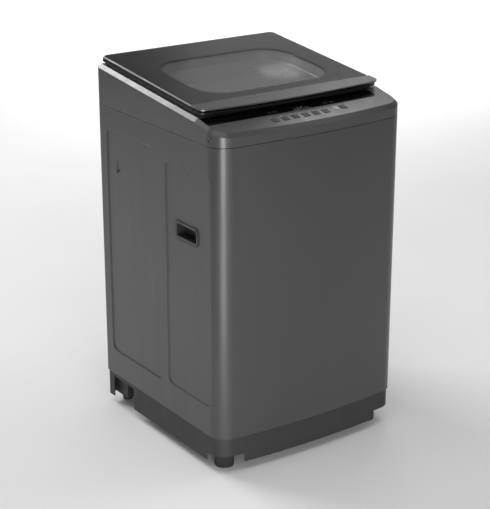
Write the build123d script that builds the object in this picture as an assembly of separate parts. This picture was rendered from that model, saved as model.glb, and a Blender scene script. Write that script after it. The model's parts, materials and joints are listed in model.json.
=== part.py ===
from build123d import *
import math
import os

# Top load washing machine, in millimetres.
# The origin is on the floor under the middle of the cabinet: +X is the machine's right as
# seen from the front, +Y is the back and +Z is up. The front faces -Y and is gently bowed.

# ---- driving dimensions: the body ----
WIDTH = 590.0
DEPTH = 594.2
BOW = 17.6                      # how far the middle of the front stands ahead of its corners
FRONT_R = 47.0                  # upright front corners
REAR_R = 14.0                   # upright rear corners
SKIRT_BOTTOM = 25.0
SKIRT_TOP = 100.8
SEAM_Z = 884.4                  # where the steel cabinet ends and the plastic top begins
SHEET = 1.0                     # steel sheet
PLASTIC = 2.8                   # moulded walls
JOINT_GAP = 1.2                 # shadow line between cabinet, skirt and top
SKIRT_INSET = 3.6

# ---- the top: a deck in two slopes ----
BREAK_Y = -181.2                # where the deck tips down towards the front
BREAK_Z = 942.0
REAR_SLOPE = 0.1078
FRONT_SLOPE = 0.23
EDGE_BEVEL = (10.5, 9.0)        # bevel round the deck: across and down
INNER_BEVEL = (8.7, 7.5)        # the same bevel inside the moulding
DECK_TRIM_H = 7.0               # the dark inner deck stands this far above the outer frame
MOUTH_X = 430.0                 # loading opening in the deck
MOUTH_FRONT = -150.0
MOUTH_REAR = 195.0
MOUTH_R = 95.0
COLLAR_BOTTOM = 894.0

# ---- the lid, laid out flat and then tipped onto the rear slope ----
LID_REAR_Y = 292.7
LID_REAR_Z = 1015.0
LID_HALF = 283.2
LID_MID = 501.8                 # rear edge to the middle of the front lip
LID_END = 486.7                 # rear edge to the ends of the front lip
LID_R = 19.0
LID_T = 14.0
GLASS_T = 3.2
STRIP_BACK = 443.5              # where the brushed handle strip begins
STRIP_T = 4.0
GRIP_GAP = 5.5                  # finger slot under the strip
WINDOW_X = 424.0
WINDOW_REAR = 121.0
WINDOW_FRONT = 411.0
WINDOW_R = 70.0
BOWL_DEPTH = 27.0
HINGE_IN = 10.5                 # hinge axis: in from the lid's rear edge and down from its top
HINGE_BARREL = 10.2
PIN_R = 3.0
HINGE_X = 205.0
LUG_R = 6.3
LUG_HALF = 6.0
PIN_LENGTH = 36.0

# ---- washing unit: everything turns about one upright axis ----
TUB_Y = 5.0
TUB_R = 270.0
TUB_T = 3.0
TUB_BOTTOM = 232.0
TUB_TOP = 846.0
COVER_TOP = 872.0
BASKET_R = 250.0
BASKET_T = 0.8
BASKET_FLOOR_T = 1.2
BASKET_HEM = 12.0               # slope where the drum's wall meets its floor
BASKET_BOTTOM = 262.0
BASKET_TOP = 828.0
RING_IN = 214.0
RING_OUT = 252.5
SPIN_TUBE_R = 17.0
SHAFT_R = 10.0
RUN = 0.05                      # radial running clearance of a shaft
BEARING_R = 32.0
PULLEY_PITCH = 72.0
MOTOR_PITCH = 24.0
PULLEY_Z = 112.0
PULLEY_H = 14.0
BELT_H = 9.0
BELT_T = 4.0
MOTOR_X = 145.0
MOTOR_SHAFT_R = 8.0
ROD_X = 232.0
ROD_Y = 222.0
ROD_R = 4.0
SPRING_Z = (274.0, 318.0)       # free space of a suspension spring, washer to lug

# ---- keys on the front slope: distances from the break, down the slope ----
KEY_S = 74.9
KEY_PITCH = 31.9
KEY_FIRST_X = -103.7
KEY_W = 19.0
KEY_GAP = 0.6
PAIR_X = (91.5, 114.5)
PAIR_S = 70.0

REAR_TILT = math.degrees(math.atan(REAR_SLOPE))
LID_PLANE = Plane(origin=(0, LID_REAR_Y, LID_REAR_Z), x_dir=(1, 0, 0), z_dir=(0, -REAR_SLOPE, 1))
FRONT_DECK = Plane(origin=(0, BREAK_Y, BREAK_Z), x_dir=(1, 0, 0), z_dir=(0, -FRONT_SLOPE, 1))


def save(name, *solids):
    """Write one named piece; a group of like pieces stays a group of separate solids."""
    found = []
    for item in solids:
        found += list(item.solids())
    shape = found[0] if len(found) == 1 else Compound(children=found)
    export_step(shape, f"parts/{name}.step")


def box(x, y, z):
    """A box from its (low, high) limits on each axis."""
    size = [high - low for low, high in (x, y, z)]
    middle = [(low + high) / 2 for low, high in (x, y, z)]
    return Location(middle) * Box(*size)


def tube(outer, inner, low, high, x=0.0, y=TUB_Y):
    """An upright ring, or a plain cylinder where inner is 0."""
    ring = Circle(outer) if inner == 0 else Circle(outer) - Circle(inner)
    return Location((x, y, low)) * extrude(ring, high - low)


def plan(inset=0.0):
    """The cabinet's outline seen from above, drawn in from the outside by inset."""
    half = WIDTH / 2 - inset
    back = DEPTH / 2 - inset
    corner = BOW - DEPTH / 2 + inset
    apex = inset - DEPTH / 2
    front = ThreePointArc((-half, corner), (0, apex), (half, corner))
    rest = Polyline((half, corner), (half, back), (-half, back), (-half, corner))
    face = make_face(front.edges() + rest.edges())
    ahead = [v for v in face.vertices() if v.Y < 0]
    face = fillet(ahead, FRONT_R - inset)
    behind = [v for v in face.vertices() if v.Y > back - 0.01]
    return fillet(behind, max(REAR_R - inset, 2.0))


def upright(face, low, high):
    """A face on the floor plane, extruded between two heights."""
    return Location((0, 0, low)) * extrude(face, high - low)


def deck_z(y):
    """Height of the outer deck at a distance from front to back."""
    slope = REAR_SLOPE if y > BREAK_Y else FRONT_SLOPE
    return BREAK_Z + slope * (y - BREAK_Y)


# ---------------------------------------------------------------- steel cabinet
FIELD_DEPTH = 3.0
FIELD_R = 22.0
FIELDS = (                      # pressed fields of each side: y from, y to, z from, z to
    (-248.0, -39.2, 183.0, 808.0),
    (-14.0, 253.8, 176.0, 825.0),
)
GRIP_Y = (-187.5, -87.9)
GRIP_Z = (613.0, 654.0)
GRIP_RIM = 7.5
GRIP_DEPTH = 24.0
CLIP_PRESS = (202.0, 725.0, 38.0, 14.0, 14.0)    # small pressing: y, z, length, width, lean
CLIP_HOLE = (198.5, 716.0, 4.3)                  # round hole in it: y, z, radius
REAR_FLANGE = 28.0
REAR_RAIL = 22.0                # steel left above and below the service opening
REAR_SCREW_X = 274.0
REAR_SCREW_Z = (130.0, 310.0, 490.0, 670.0, 838.0)
SCREW_R = 4.0
SPIGOT = (-150.0, 160.0)         # drain outlet: x and z
SPIGOT_IN = 262.0
SPIGOT_LENGTH = 34.0
SPIGOT_R = 15.0
SPIGOT_BORE = 12.0
OUTLET_CUP = 28.0
CUP_WALL = 2.0
GLAND = (-205.0, 800.0)
GLAND_HOLE = 9.0
RIB_X = (-120.0, 0.0, 120.0)
RIB_HALF = 12.0
RIB_Z = (220.0, 760.0)
VENT_X = (-60.0, 60.0)
VENT_Z = (800.0, 812.0, 824.0, 836.0, 848.0)
VENT_SIZE = (70.0, 4.0)


def back_hole(x, z, radius, depth=10.0):
    """A drill through the back wall, to take away."""
    return Location((x, DEPTH / 2, z)) * (Rotation(90, 0, 0) * Cylinder(radius, 2 * depth))


def side_plate(side, inset, y, z):
    """A plane flat on one side wall, facing inwards, centred on y and z."""
    middle = (side * (WIDTH / 2 - inset), sum(y) / 2, sum(z) / 2)
    return Plane(origin=middle, x_dir=(0, 1, 0), z_dir=(-side, 0, 0))


def pressed_fields(inset):
    """The shallow pressings of both side walls, as solids to take away."""
    found = []
    for side in (-1, 1):
        for y0, y1, z0, z1 in FIELDS:
            face = RectangleRounded(y1 - y0, z1 - z0, FIELD_R)
            plate = side_plate(side, inset, (y0, y1), (z0, z1))
            found += [extrude(plate * face, FIELD_DEPTH, taper=50)]
        y, z, length, width, lean = CLIP_PRESS
        plate = side_plate(side, inset + FIELD_DEPTH, (y, y), (z, z))
        slot = Rotation(0, 0, 90 - side * lean) * SlotOverall(length, width)
        found += [extrude(plate * slot, 2.2, taper=30)]
    return found


def grip_cut(side, grow, depth):
    """A prism through one side wall at the hand grip."""
    face = RectangleRounded(GRIP_Y[1] - GRIP_Y[0] + 2 * grow, GRIP_Z[1] - GRIP_Z[0] + 2 * grow, 14)
    return extrude(side_plate(side, -1, GRIP_Y, GRIP_Z) * face, depth)


def cabinet_shell():
    """Folded sheet wrapper: the bowed front, both sides, and flanges round the open back."""
    low, high = SKIRT_TOP + JOINT_GAP / 2, SEAM_Z - JOINT_GAP / 2
    shell = upright(plan(), low, high)
    for field in pressed_fields(0):
        shell -= field
    core = upright(plan(SHEET), low - 1, high + 1)
    for field in pressed_fields(SHEET):
        core -= field
    shell -= core
    back = DEPTH / 2
    opening = WIDTH / 2 - REAR_FLANGE
    shell -= box((-opening, opening), (back - 9, back + 1), (low + REAR_RAIL, high - REAR_RAIL))
    y, z, radius = CLIP_HOLE
    for side in (-1, 1):
        shell -= grip_cut(side, GRIP_RIM - 3, 12)
        drill = Rotation(0, 90, 0) * Cylinder(radius, 20)
        shell -= Location((side * WIDTH / 2, y, z)) * drill
        for height in REAR_SCREW_Z:
            shell -= back_hole(side * REAR_SCREW_X, height, SCREW_R + 0.3, 2.0)
    return shell


def rear_panel():
    """Flat service panel inside the rear flanges, with the outlets' holes and vent slots."""
    back = DEPTH / 2 - SHEET
    half = WIDTH / 2 - 16
    panel = box((-half, half), (back - SHEET, back), (SKIRT_TOP + 4, SEAM_Z - 6))
    for x in RIB_X:
        panel += box((x - RIB_HALF, x + RIB_HALF), (back - 3 * SHEET, back - SHEET), RIB_Z)
    panel -= back_hole(*SPIGOT, OUTLET_CUP)
    panel -= back_hole(*GLAND, GLAND_HOLE)
    for x in VENT_X:
        for z in VENT_Z:
            panel -= Location((x, back, z)) * Box(VENT_SIZE[0], 10, VENT_SIZE[1])
    for side in (-1, 1):
        for z in REAR_SCREW_Z:
            panel -= back_hole(side * REAR_SCREW_X, z, 2.0)
    return panel


def screw(at, direction):
    """A pan head screw with a short shank and a cross recess."""
    plane = Plane(origin=at, z_dir=direction)
    body = extrude(plane * Circle(SCREW_R), -1.0)
    body += extrude(plane.offset(-1.0) * Circle(1.9), -7.0)
    for size in ((4.4, 1.0), (1.0, 4.4)):
        body -= extrude(plane * Rectangle(*size), -0.6)
    return body


def case_screws():
    back = DEPTH / 2
    rear = [screw((s * REAR_SCREW_X, back, z), (0, 1, 0)) for s in (-1, 1) for z in REAR_SCREW_Z]
    top = [screw((s * (WIDTH / 2 - BOSS_SINK), BOSS_Y, BOSS_Z), (s, 0, 0)) for s in (-1, 1)]
    return rear + top


def side_grip(side):
    """Moulded hand grip: a rim on the panel and a closed pocket behind it."""
    wide, high = GRIP_Y[1] - GRIP_Y[0], GRIP_Z[1] - GRIP_Z[0]
    proud = 1.6
    rim = RectangleRounded(wide + 2 * GRIP_RIM, high + 2 * GRIP_RIM, 20)
    inside = RectangleRounded(wide, high, 14)
    neck = RectangleRounded(wide + 5, high + 5, 15)
    face = side_plate(side, FIELD_DEPTH - proud, GRIP_Y, GRIP_Z)
    grip = extrude(face * rim, proud)
    grip = fillet(grip.faces().sort_by(Axis.X)[0 if side < 0 else -1].edges(), 1.2)
    grip += extrude(face * neck, GRIP_DEPTH + 4)
    return grip - extrude(face.offset(-1) * inside, GRIP_DEPTH + 2.5)


# ---------------------------------------------------------------- plastic base and feet
FOOT_X = 240.0
FRONT_FOOT_Y = -223.0
REAR_FOOT_Y = 272.0
FOOT_R = 26.0
REAR_FOOT_R = 15.0
FOOT_TOP = 47.0
STUD_R = 5.0
STUD_TOP = 92.0
FRONT_BAY = (215.0, -216.0, 50.0)     # cut-away round a front foot: x, y and its top
REAR_BAY = (153.0, 261.0, 88.0)       # notch in the side by a rear foot: y, y and its top
POD_FLOOR = 50.0
POD_X = 196.0                   # inner wall of a front foot's pod
POD_BACK = -186.0
REAR_POD = ((214.0, 276.0), (212.0, 292.0))
REAR_POD_FLOOR = 32.0
POD_WALL = 4.0


def skirt_wall(high):
    """The skirt's thin outer wall."""
    wall = upright(plan(SKIRT_INSET), SKIRT_BOTTOM, high)
    return wall - upright(plan(SKIRT_INSET + 3.0), SKIRT_BOTTOM - 1, high + 1)


def base_skirt():
    """Plastic base: a wall cut away at the feet, with a pod over each foot."""
    top = SKIRT_TOP - JOINT_GAP / 2
    skirt = skirt_wall(top)
    skirt += upright(plan(SKIRT_INSET), top - 3, top) - upright(plan(SKIRT_INSET + 20), top - 4, top + 1)
    inside = plan(SKIRT_INSET + 1)
    bay_x, bay_y, bay_top = FRONT_BAY
    for side in (-1, 1):
        skirt -= box(sorted((side * bay_x, side * 300)), (-300, bay_y), (0, bay_top))
        skirt -= box(sorted((side * 280, side * 300)), REAR_BAY[:2], (0, REAR_BAY[2]))
        wide, deep = sorted((side * POD_X, side * 300)), (-300, POD_BACK)
        pod = box(wide, deep, (POD_FLOOR, POD_FLOOR + POD_WALL))
        pod += tube(12, 0, POD_FLOOR, top - 1, side * FOOT_X, FRONT_FOOT_Y)
        pod += box(sorted((side * POD_X, side * (POD_X + POD_WALL))), deep, (POD_FLOOR, top - 1))
        pod += box(wide, (POD_BACK - POD_WALL, POD_BACK), (POD_FLOOR, top - 1))
        pod -= tube(STUD_R + RUN, 0, POD_FLOOR - 1, top, side * FOOT_X, FRONT_FOOT_Y)
        (x0, x1), (y0, y1) = REAR_POD
        rear_pod = box(sorted((side * x0, side * x1)), (y0, y1), (REAR_POD_FLOOR, top - 1))
        hollow_x = sorted((side * (x0 + 3), side * (x1 - 3)))
        rear_pod -= box(hollow_x, (y0 + 3, y1 - 3), (REAR_POD_FLOOR + POD_WALL, top))
        skirt += (pod + rear_pod) & upright(inside, 0, 120)
    return skirt


def foot_front(side):
    """Adjustable foot: a ribbed cup on a threaded stud."""
    rib_r, ribs = 0.9, 40
    foot = tube(FOOT_R - 0.8, 0, 0, FOOT_TOP, side * FOOT_X, FRONT_FOOT_Y)
    section = Sketch() + [spot * Circle(rib_r) for spot in PolarLocations(FOOT_R - rib_r, ribs)]
    foot += Location((side * FOOT_X, FRONT_FOOT_Y, 3.0)) * extrude(section, FOOT_TOP - 6)
    foot += tube(STUD_R, 0, FOOT_TOP - 1, STUD_TOP, side * FOOT_X, FRONT_FOOT_Y)
    return foot


def rear_feet():
    """Fixed rubber feet under the rear pods."""
    found = []
    for side in (-1, 1):
        foot = tube(REAR_FOOT_R, 0, 0, REAR_POD_FLOOR, side * FOOT_X, REAR_FOOT_Y)
        lower = foot.edges().filter_by(GeomType.CIRCLE).sort_by(Axis.Z)[0]
        found += [chamfer(lower, 1.5)]
    return found


# ---------------------------------------------------------------- plastic top
BOSS_Y = -244.0
BOSS_Z = 900.0
BOSS_SINK = 1.6
BOSS_R = 9.5
BOSS_LINE = 1.6                 # arched groove round a boss
STRIP_S = (5.0, 46.2)           # the black display strip, from and to, down the front slope
STRIP_X = (-283.0, 248.0)
STRIP_R = 15.0
STRIP_DEEP = 1.6
VALVE_X = (25.0, 95.0)
VALVE_Z = 930.0
VALVE_BAY = ((-12.0, 132.0), (896.0, 964.0))
VALVE_Y = 268.0
DRAWER_X = (-119.0, -19.0)
DRAWER_SPLIT = 60.0             # width of the powder bay
DRAWER_WALL = 2.0
DRAWER_Z = (908.0, 956.0)
DRAWER_BACK = 284.0
TRIM_EDGE = 277.0
TRIM_REAR = 26.0
TRIM_FRONT = 470.0
TRIM_T = 2.5
KEY_HOLE_R = 2.6
LOCK_X = (222.0, 262.0)
LOCK_Y = (-168.0, -128.0)
LOCK_Z = (918.0, 938.5)
PORT_R = 13.2
PORT_BORE = 9.5
PORT_LENGTH = 20.0
BOARD_DROP = 15.6               # from the front slope down to the board's underside
BOARD_X = (-150.0, 150.0)
BOARD_S = (52.0, 92.0)
BOARD_POST_X = (-145.0, 145.0)
CONNECTOR_X = (-134.0, 136.0)
SWITCH_H = 4.0
KEY_PROUD = 1.0
KEY_SKIRT = 3.5                 # how far a key's cap reaches below the slope
DECK_BELOW_LID = (LID_REAR_Z - deck_z(LID_REAR_Y)) * math.cos(math.radians(REAR_TILT))


def slope_block(block, slope):
    """Lean a level block onto one slope of the deck, keeping its walls upright."""
    rows = [[1, 0, 0, 0], [0, 1, 0, 0], [0, slope, 1, -slope * BREAK_Y], [0, 0, 0, 1]]
    return block.solid().transform_geometry(Matrix(rows))


def top_form(inset, drop, bevel):
    """The top's outer form: the outline up to both deck slopes, bevelled along its edge."""
    block = upright(plan(inset), BREAK_Z - 200, BREAK_Z - drop)
    top_face = block.faces().sort_by(Axis.Z)[-1]
    block = chamfer(top_face.edges(), length=bevel[0], length2=bevel[1], reference=top_face)
    wide, tall = (-WIDTH, WIDTH), (0, 2 * BREAK_Z)
    behind = block & box(wide, (BREAK_Y, DEPTH), tall)
    ahead = block & box(wide, (-DEPTH, BREAK_Y), tall)
    form = slope_block(behind, REAR_SLOPE) + slope_block(ahead, FRONT_SLOPE)
    return form - box(wide, (-DEPTH, DEPTH), (0, SEAM_Z + JOINT_GAP / 2 - drop))


def mouth(grow=0.0):
    """The loading opening's outline from above."""
    length = MOUTH_REAR - MOUTH_FRONT + 2 * grow
    face = RectangleRounded(MOUTH_X + 2 * grow, length, MOUTH_R + grow)
    return Location((0, (MOUTH_REAR + MOUTH_FRONT) / 2, 0)) * face


def key_places():
    """Name, x and distance down the slope of every key."""
    names = ("key_1", "key_2", "key_3", "key_4", "key_5", "key_6")
    row = [(name, KEY_FIRST_X + i * KEY_PITCH, KEY_S) for i, name in enumerate(names)]
    return row + [("key_power", PAIR_X[1], PAIR_S), ("key_start", PAIR_X[0], PAIR_S)]


def strip_outline(x, s):
    """Rectangle on the front slope, from its limits across and down the slope."""
    return Location((sum(x) / 2, -sum(s) / 2, 0)) * Rectangle(x[1] - x[0], s[1] - s[0])


def top_frame():
    """Outer moulding of the top: bevelled rim, key holes, side screw bosses and valve bay."""
    top = top_form(0, 0, EDGE_BEVEL) - top_form(PLASTIC, PLASTIC, INNER_BEVEL)
    top -= upright(mouth(6.0), SEAM_Z - 2, 1100)
    top -= extrude(FRONT_DECK.offset(-STRIP_DEEP) * display_outline(0.1), 10)
    for _, x, s in key_places():
        size = KEY_W + 2 * KEY_GAP
        hole = Location((x, -s, 0)) * RectangleRounded(size, size, KEY_HOLE_R)
        top -= extrude(FRONT_DECK.offset(-6) * hole, 12)
    for side in (-1, 1):
        wall = side * WIDTH / 2
        plate = Plane(origin=(wall, BOSS_Y, BOSS_Z), x_dir=(0, 1, 0), z_dir=(side, 0, 0))
        below = Location((0, -BOSS_R, 0))
        arch = Circle(BOSS_R) + below * Rectangle(2 * BOSS_R, 2 * BOSS_R)
        groove = arch - Circle(BOSS_R - BOSS_LINE) - below * Rectangle(2 * (BOSS_R - BOSS_LINE), 30)
        top += extrude(plate * Circle(BOSS_R), -7)
        top -= extrude(plate * groove, -1.2)
        top -= extrude(plate * Circle(SCREW_R + 0.3), -BOSS_SINK - 1.0)
        top -= extrude(plate * Circle(2.0), -12)
    (x0, x1), (z0, z1) = VALVE_BAY
    top += box((x0 - 2.5, x1 + 2.5), (VALVE_Y, DEPTH / 2 - 1), (z0 - 2.5, z1 + 2.5))
    return top - box((x0, x1), (VALVE_Y - 1, DEPTH / 2 + 1), (z0, z1))


def display_outline(grow):
    """The black strip's outline: square at the left, rounded at the right."""
    x = (STRIP_X[0] - grow, STRIP_X[1] + grow)
    s = (STRIP_S[0] - grow, STRIP_S[1] + grow)
    face = strip_outline(x, s)
    return fillet([v for v in face.vertices() if v.X > 0], STRIP_R + grow)


def display_panel():
    """Gloss black strip let into the front slope."""
    return extrude(FRONT_DECK.offset(-STRIP_DEEP) * display_outline(0.0), STRIP_DEEP)


def lid_outline(inset=0.0, back=0.0, front=0.0):
    """The lid from above, laid flat: straight sides and rear, bowed front lip."""
    half = LID_HALF - inset
    end = front - LID_END + (inset if front == 0 else 0)
    mid = front - LID_MID + (inset if front == 0 else 0)
    lip = ThreePointArc((-half, end), (0, mid), (half, end))
    rest = Polyline((half, end), (half, -back), (-half, -back), (-half, end))
    face = make_face(lip.edges() + rest.edges())
    return fillet(face.vertices(), max(LID_R - inset, 4.0))


def deck_trim():
    """Dark inner deck: a raised hollow plate round the loading opening, under the lid."""
    length = TRIM_FRONT - TRIM_REAR
    place = Location((0, -(TRIM_FRONT + TRIM_REAR) / 2, 0))
    outer = place * RectangleRounded(2 * TRIM_EDGE, length, 18)
    inner = place * RectangleRounded(2 * (TRIM_EDGE - TRIM_T), length - 2 * TRIM_T, 15)
    floor = LID_PLANE.offset(-DECK_BELOW_LID)
    plate = extrude(floor * outer, DECK_TRIM_H)
    hollow = extrude(floor.offset(-1) * inner, DECK_TRIM_H - TRIM_T + 1)
    plate -= hollow - upright(mouth(TRIM_T), 800, 1100)
    return plate - upright(mouth(), 800, 1100)


def loading_collar():
    """Wall of the loading opening, from the dark deck down to the tub's cover."""
    collar = upright(mouth(TRIM_T), COLLAR_BOTTOM, 1100) - upright(mouth(), 800, 1101)
    below = LID_PLANE.offset(-DECK_BELOW_LID) * Location((0, -250, 0)) * Rectangle(900, 900)
    collar -= extrude(below, 200)
    (x0, x1), (z0, z1) = DRAWER_X, DRAWER_Z
    return collar - box((x0 - 3, x1 + 3), (MOUTH_REAR - 8, MOUTH_REAR + 8), (z0 - 3, z1 + 3))


def hinge_brackets():
    """Lugs that carry the lid's pins, standing on the deck behind the opening."""
    found = []
    for side in (-1, 1):
        at = Plane(origin=(side * HINGE_X, 0, 0), z_dir=(1, 0, 0), x_dir=(0, 1, 0))
        height = DECK_BELOW_LID - HINGE_IN
        profile = Circle(LUG_R) + Location((0, -height / 2)) * Rectangle(2 * LUG_R, height)
        profile -= Circle(PIN_R + RUN)
        lug = extrude(Location((0, -HINGE_IN, -HINGE_IN)) * (at * profile), LUG_HALF, both=True)
        found.append(LID_PLANE.location * lug)
    return found


def control_board():
    """Printed circuit board under the front slope, with one switch below each key."""
    thick, bury = 1.6, 0.2
    board = extrude(FRONT_DECK.offset(-BOARD_DROP) * strip_outline(BOARD_X, BOARD_S), thick)
    face = FRONT_DECK.offset(thick - bury - BOARD_DROP)
    for _, x, s in key_places():
        board += extrude(face * (Location((x, -s, 0)) * Rectangle(6, 6)), SWITCH_H)
    for x in CONNECTOR_X:
        board += extrude(face * (Location((x, -72, 0)) * Rectangle(10, 26)), 7.0)
    for x in BOARD_POST_X:
        post = Location((x, -56, 0)) * Circle(3)
        board += extrude(face * post, BOARD_DROP - thick + bury - PLASTIC)
    return board


def key(x, s):
    """A square key: crowned cap, retaining flange and a stem down to its switch."""
    place = Location((x, -s, 0))
    square = place * RectangleRounded(KEY_W, KEY_W, 2.0)
    cap = extrude(FRONT_DECK.offset(-KEY_SKIRT) * square, KEY_SKIRT + KEY_PROUD)
    cap = fillet(cap.faces().sort_by(Axis.Z)[-1].edges(), 0.6)
    flange = place * Rectangle(KEY_W + 4, KEY_W + 4)
    cap += extrude(FRONT_DECK.offset(-KEY_SKIRT - 0.6) * flange, 1.0)
    return cap + extrude(FRONT_DECK.offset(-KEY_SKIRT - 5.1) * (place * Circle(1.8)), 5.0)


def lid_lock():
    """Door lock block hung under the dark deck beside the opening."""
    block = box(LOCK_X, LOCK_Y, LOCK_Z)
    middle_x, middle_y = sum(LOCK_X) / 2, sum(LOCK_Y) / 2
    latch = box((middle_x - 6, middle_x + 6), (middle_y - 4, middle_y + 4), (LOCK_Z[0] + 12, LOCK_Z[1] + 1))
    return block - latch


def inlet_valve():
    """Two-way inlet valve on its plate, with threaded hose ports facing back."""
    (x0, x1), (z0, z1) = VALVE_BAY
    valve = box((x0 - 4, x1 + 4), (VALVE_Y - 3, VALVE_Y), (z0 - 4, z1 + 4))
    for x in VALVE_X:
        at = Plane(origin=(x, VALVE_Y, VALVE_Z), z_dir=(0, 1, 0))
        port = extrude(at * Circle(PORT_R), PORT_LENGTH)
        valve += port - extrude(at.offset(2) * Circle(PORT_BORE), PORT_LENGTH)
        coil = (VALVE_Z - 18, VALVE_Z + 18)
        valve += box((x - 14, x + 14), (VALVE_Y - 40, VALVE_Y - 2.5), coil)
        valve += tube(7, 0, coil[0] - 12, coil[0] + 0.5, x, VALVE_Y - 24)
    return valve


def detergent_housing():
    """Box behind the opening's rear wall that the drawer runs in."""
    (x0, x1), (z0, z1) = DRAWER_X, DRAWER_Z
    front, wall = MOUTH_REAR + TRIM_T, 2.5
    house = box((x0 - wall, x1 + wall), (front, DRAWER_BACK + wall), (z0 - wall, z1 + wall))
    return house - box(DRAWER_X, (front - 1, DRAWER_BACK), DRAWER_Z)


def detergent_drawer():
    """Drawer with a powder bay and a softener bay, and a finger lip."""
    (x0, x1), (z0, z1) = (DRAWER_X[0] + 0.6, DRAWER_X[1] - 0.6), (DRAWER_Z[0] + 0.5, DRAWER_Z[1] - 3.0)
    front, back = MOUTH_REAR + 1.0, DRAWER_BACK - 1
    drawer = box((x0, x1), (front, back), (z0, z1))
    split, half = x0 + DRAWER_SPLIT, DRAWER_WALL / 2
    for low, high in ((x0 + DRAWER_WALL, split - half), (split + half, x1 - DRAWER_WALL)):
        drawer -= box((low, high), (front + 3, back - DRAWER_WALL), (z0 + DRAWER_WALL, z1 + 1))
    middle = (x0 + x1) / 2
    return drawer + box((middle - 25, middle + 25), (front - 2, front + 1), (z1 - 9, z1 - 5))


def drain_outlet():
    """Hose spigot in a round cup behind the rear panel."""
    x, z = SPIGOT
    inside = DEPTH / 2 - 2 * SHEET
    at = Plane(origin=(x, SPIGOT_IN, z), z_dir=(0, 1, 0))
    cup = 8.0
    outlet = extrude(at * Circle(SPIGOT_R), SPIGOT_LENGTH)
    outlet += extrude(at.offset(cup) * Circle(OUTLET_CUP + CUP_WALL), inside - SPIGOT_IN - cup)
    outlet -= extrude(at.offset(cup + 3) * (Circle(OUTLET_CUP) - Circle(SPIGOT_R)), 40)
    return outlet - extrude(at.offset(-5) * Circle(SPIGOT_BORE), 60)


def cord_gland():
    """Grommet for the power cord in the rear panel."""
    x, z = GLAND
    back = DEPTH / 2 - SHEET
    at = Plane(origin=(x, back - 6, z), z_dir=(0, 1, 0))
    gland = extrude(at * Circle(GLAND_HOLE + 3.5), 4.9)
    gland += extrude(at.offset(4) * Circle(GLAND_HOLE - 0.1), 3.0)
    return gland - extrude(at.offset(-4) * Circle(4.2), 20)


# ---------------------------------------------------------------- lid
LIP_INSET = 4.0
GLASS_REAR = 14.0               # rear trim ahead of the glass
RAIL = 5.0                      # side rail beside the glass
UNDER_GAP = 2.4                 # thickness of the frame's land below the glass
FLANGE_T = 2.5
FLANGE_OUT = 14.0
BUMPER_X = (-250.0, 250.0)
BUMPER_Y = (-60.0, -425.0)


def hinge_pin(side):
    """One pin on the hinge axis, with the lid laid flat."""
    middle = (side * HINGE_X, -HINGE_IN, -HINGE_IN)
    return extrude(Plane(origin=middle, z_dir=(1, 0, 0)) * Circle(PIN_R), PIN_LENGTH / 2, both=True)


def lid_frame():
    """Outer frame: side rails, rear barrel, front lip with a finger slot, and a glazed middle."""
    frame = extrude(lid_outline(), -LID_T)
    rear_top = [e for e in frame.edges() if e.center().Y > -1 and e.center().Z > -1]
    frame = fillet([e for e in rear_top if abs(e.center().X) < 1], 9.5)
    barrel = Plane(origin=(0, -HINGE_IN, -HINGE_IN), z_dir=(1, 0, 0)) * Circle(HINGE_BARREL)
    frame += extrude(barrel, LID_HALF - LID_R, both=True)
    frame -= extrude(glass_outline(0.2), -GLASS_T)
    slot = STRIP_BACK + 8
    reach = box((-300, 300), (-600, -slot), (-STRIP_T - GRIP_GAP, 1))
    shelf = box((-300, 300), (-600, -STRIP_BACK), (-STRIP_T, 1))
    frame -= reach + shelf
    lip_trim = extrude(lid_outline() - lid_outline(LIP_INSET), -LID_T - 1)
    frame -= lip_trim & box((-300, 300), (-600, -slot), (-LID_T - 1, 1))
    frame -= extrude(Plane.XY.offset(-GLASS_T) * window(), -LID_T)
    under = RectangleRounded(2 * (LID_HALF - RAIL), STRIP_BACK - 34, 16)
    under = Location((0, -(STRIP_BACK + 26) / 2)) * under
    frame -= extrude(Plane.XY.offset(-GLASS_T - UNDER_GAP) * under, -LID_T)
    for side in (-1, 1):
        cut_x = sorted((side * (HINGE_X - 6.6), side * (HINGE_X + 6.6)))
        frame -= box(cut_x, (-2 * HINGE_IN - 1, 2), (-40, -2.2))
        frame -= hinge_pin(side)
    return LID_PLANE.location * frame


def glass_outline(grow):
    """The glass: square-cornered plate between the rails, rear trim and handle strip."""
    width = 2 * (LID_HALF - RAIL) + 2 * grow
    length = STRIP_BACK - GLASS_REAR + 2 * grow
    return Location((0, -(STRIP_BACK + GLASS_REAR) / 2, 0)) * RectangleRounded(width, length, 6)


def window(grow=0.0):
    """The see-through part of the lid."""
    length = WINDOW_FRONT - WINDOW_REAR + 2 * grow
    face = RectangleRounded(WINDOW_X + 2 * grow, length, WINDOW_R + grow)
    return Location((0, -(WINDOW_FRONT + WINDOW_REAR) / 2, 0)) * face


def lid_glass():
    """Flat glass plate set flush in the frame."""
    return LID_PLANE.location * extrude(glass_outline(0.0), -GLASS_T)


def lid_handle_strip():
    """Brushed strip along the front, overhanging the finger slot."""
    strip = extrude(lid_outline(), -STRIP_T) & box((-300, 300), (-600, -STRIP_BACK - 0.2), (-9, 1))
    return LID_PLANE.location * strip


def lid_window_bowl():
    """Dished liner under the window: a flat ledge, sloping walls and a flat floor."""
    low = -LID_T - BOWL_DEPTH
    top = -GLASS_T - UNDER_GAP
    rim = Plane.XY.offset(top - FLANGE_T)
    flange = extrude(rim * window(FLANGE_OUT), FLANGE_T)
    outer = loft([rim.offset(0.5) * window(-18.0), Plane.XY.offset(low) * window(-52.0)])
    inner = loft([rim.offset(2.6) * window(-20.0), Plane.XY.offset(low + FLANGE_T) * window(-54.5)])
    return LID_PLANE.location * (flange + outer - inner)


def lid_hinge_pins():
    """Both pins, fixed in the lid."""
    return [LID_PLANE.location * hinge_pin(side) for side in (-1, 1)]


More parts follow.
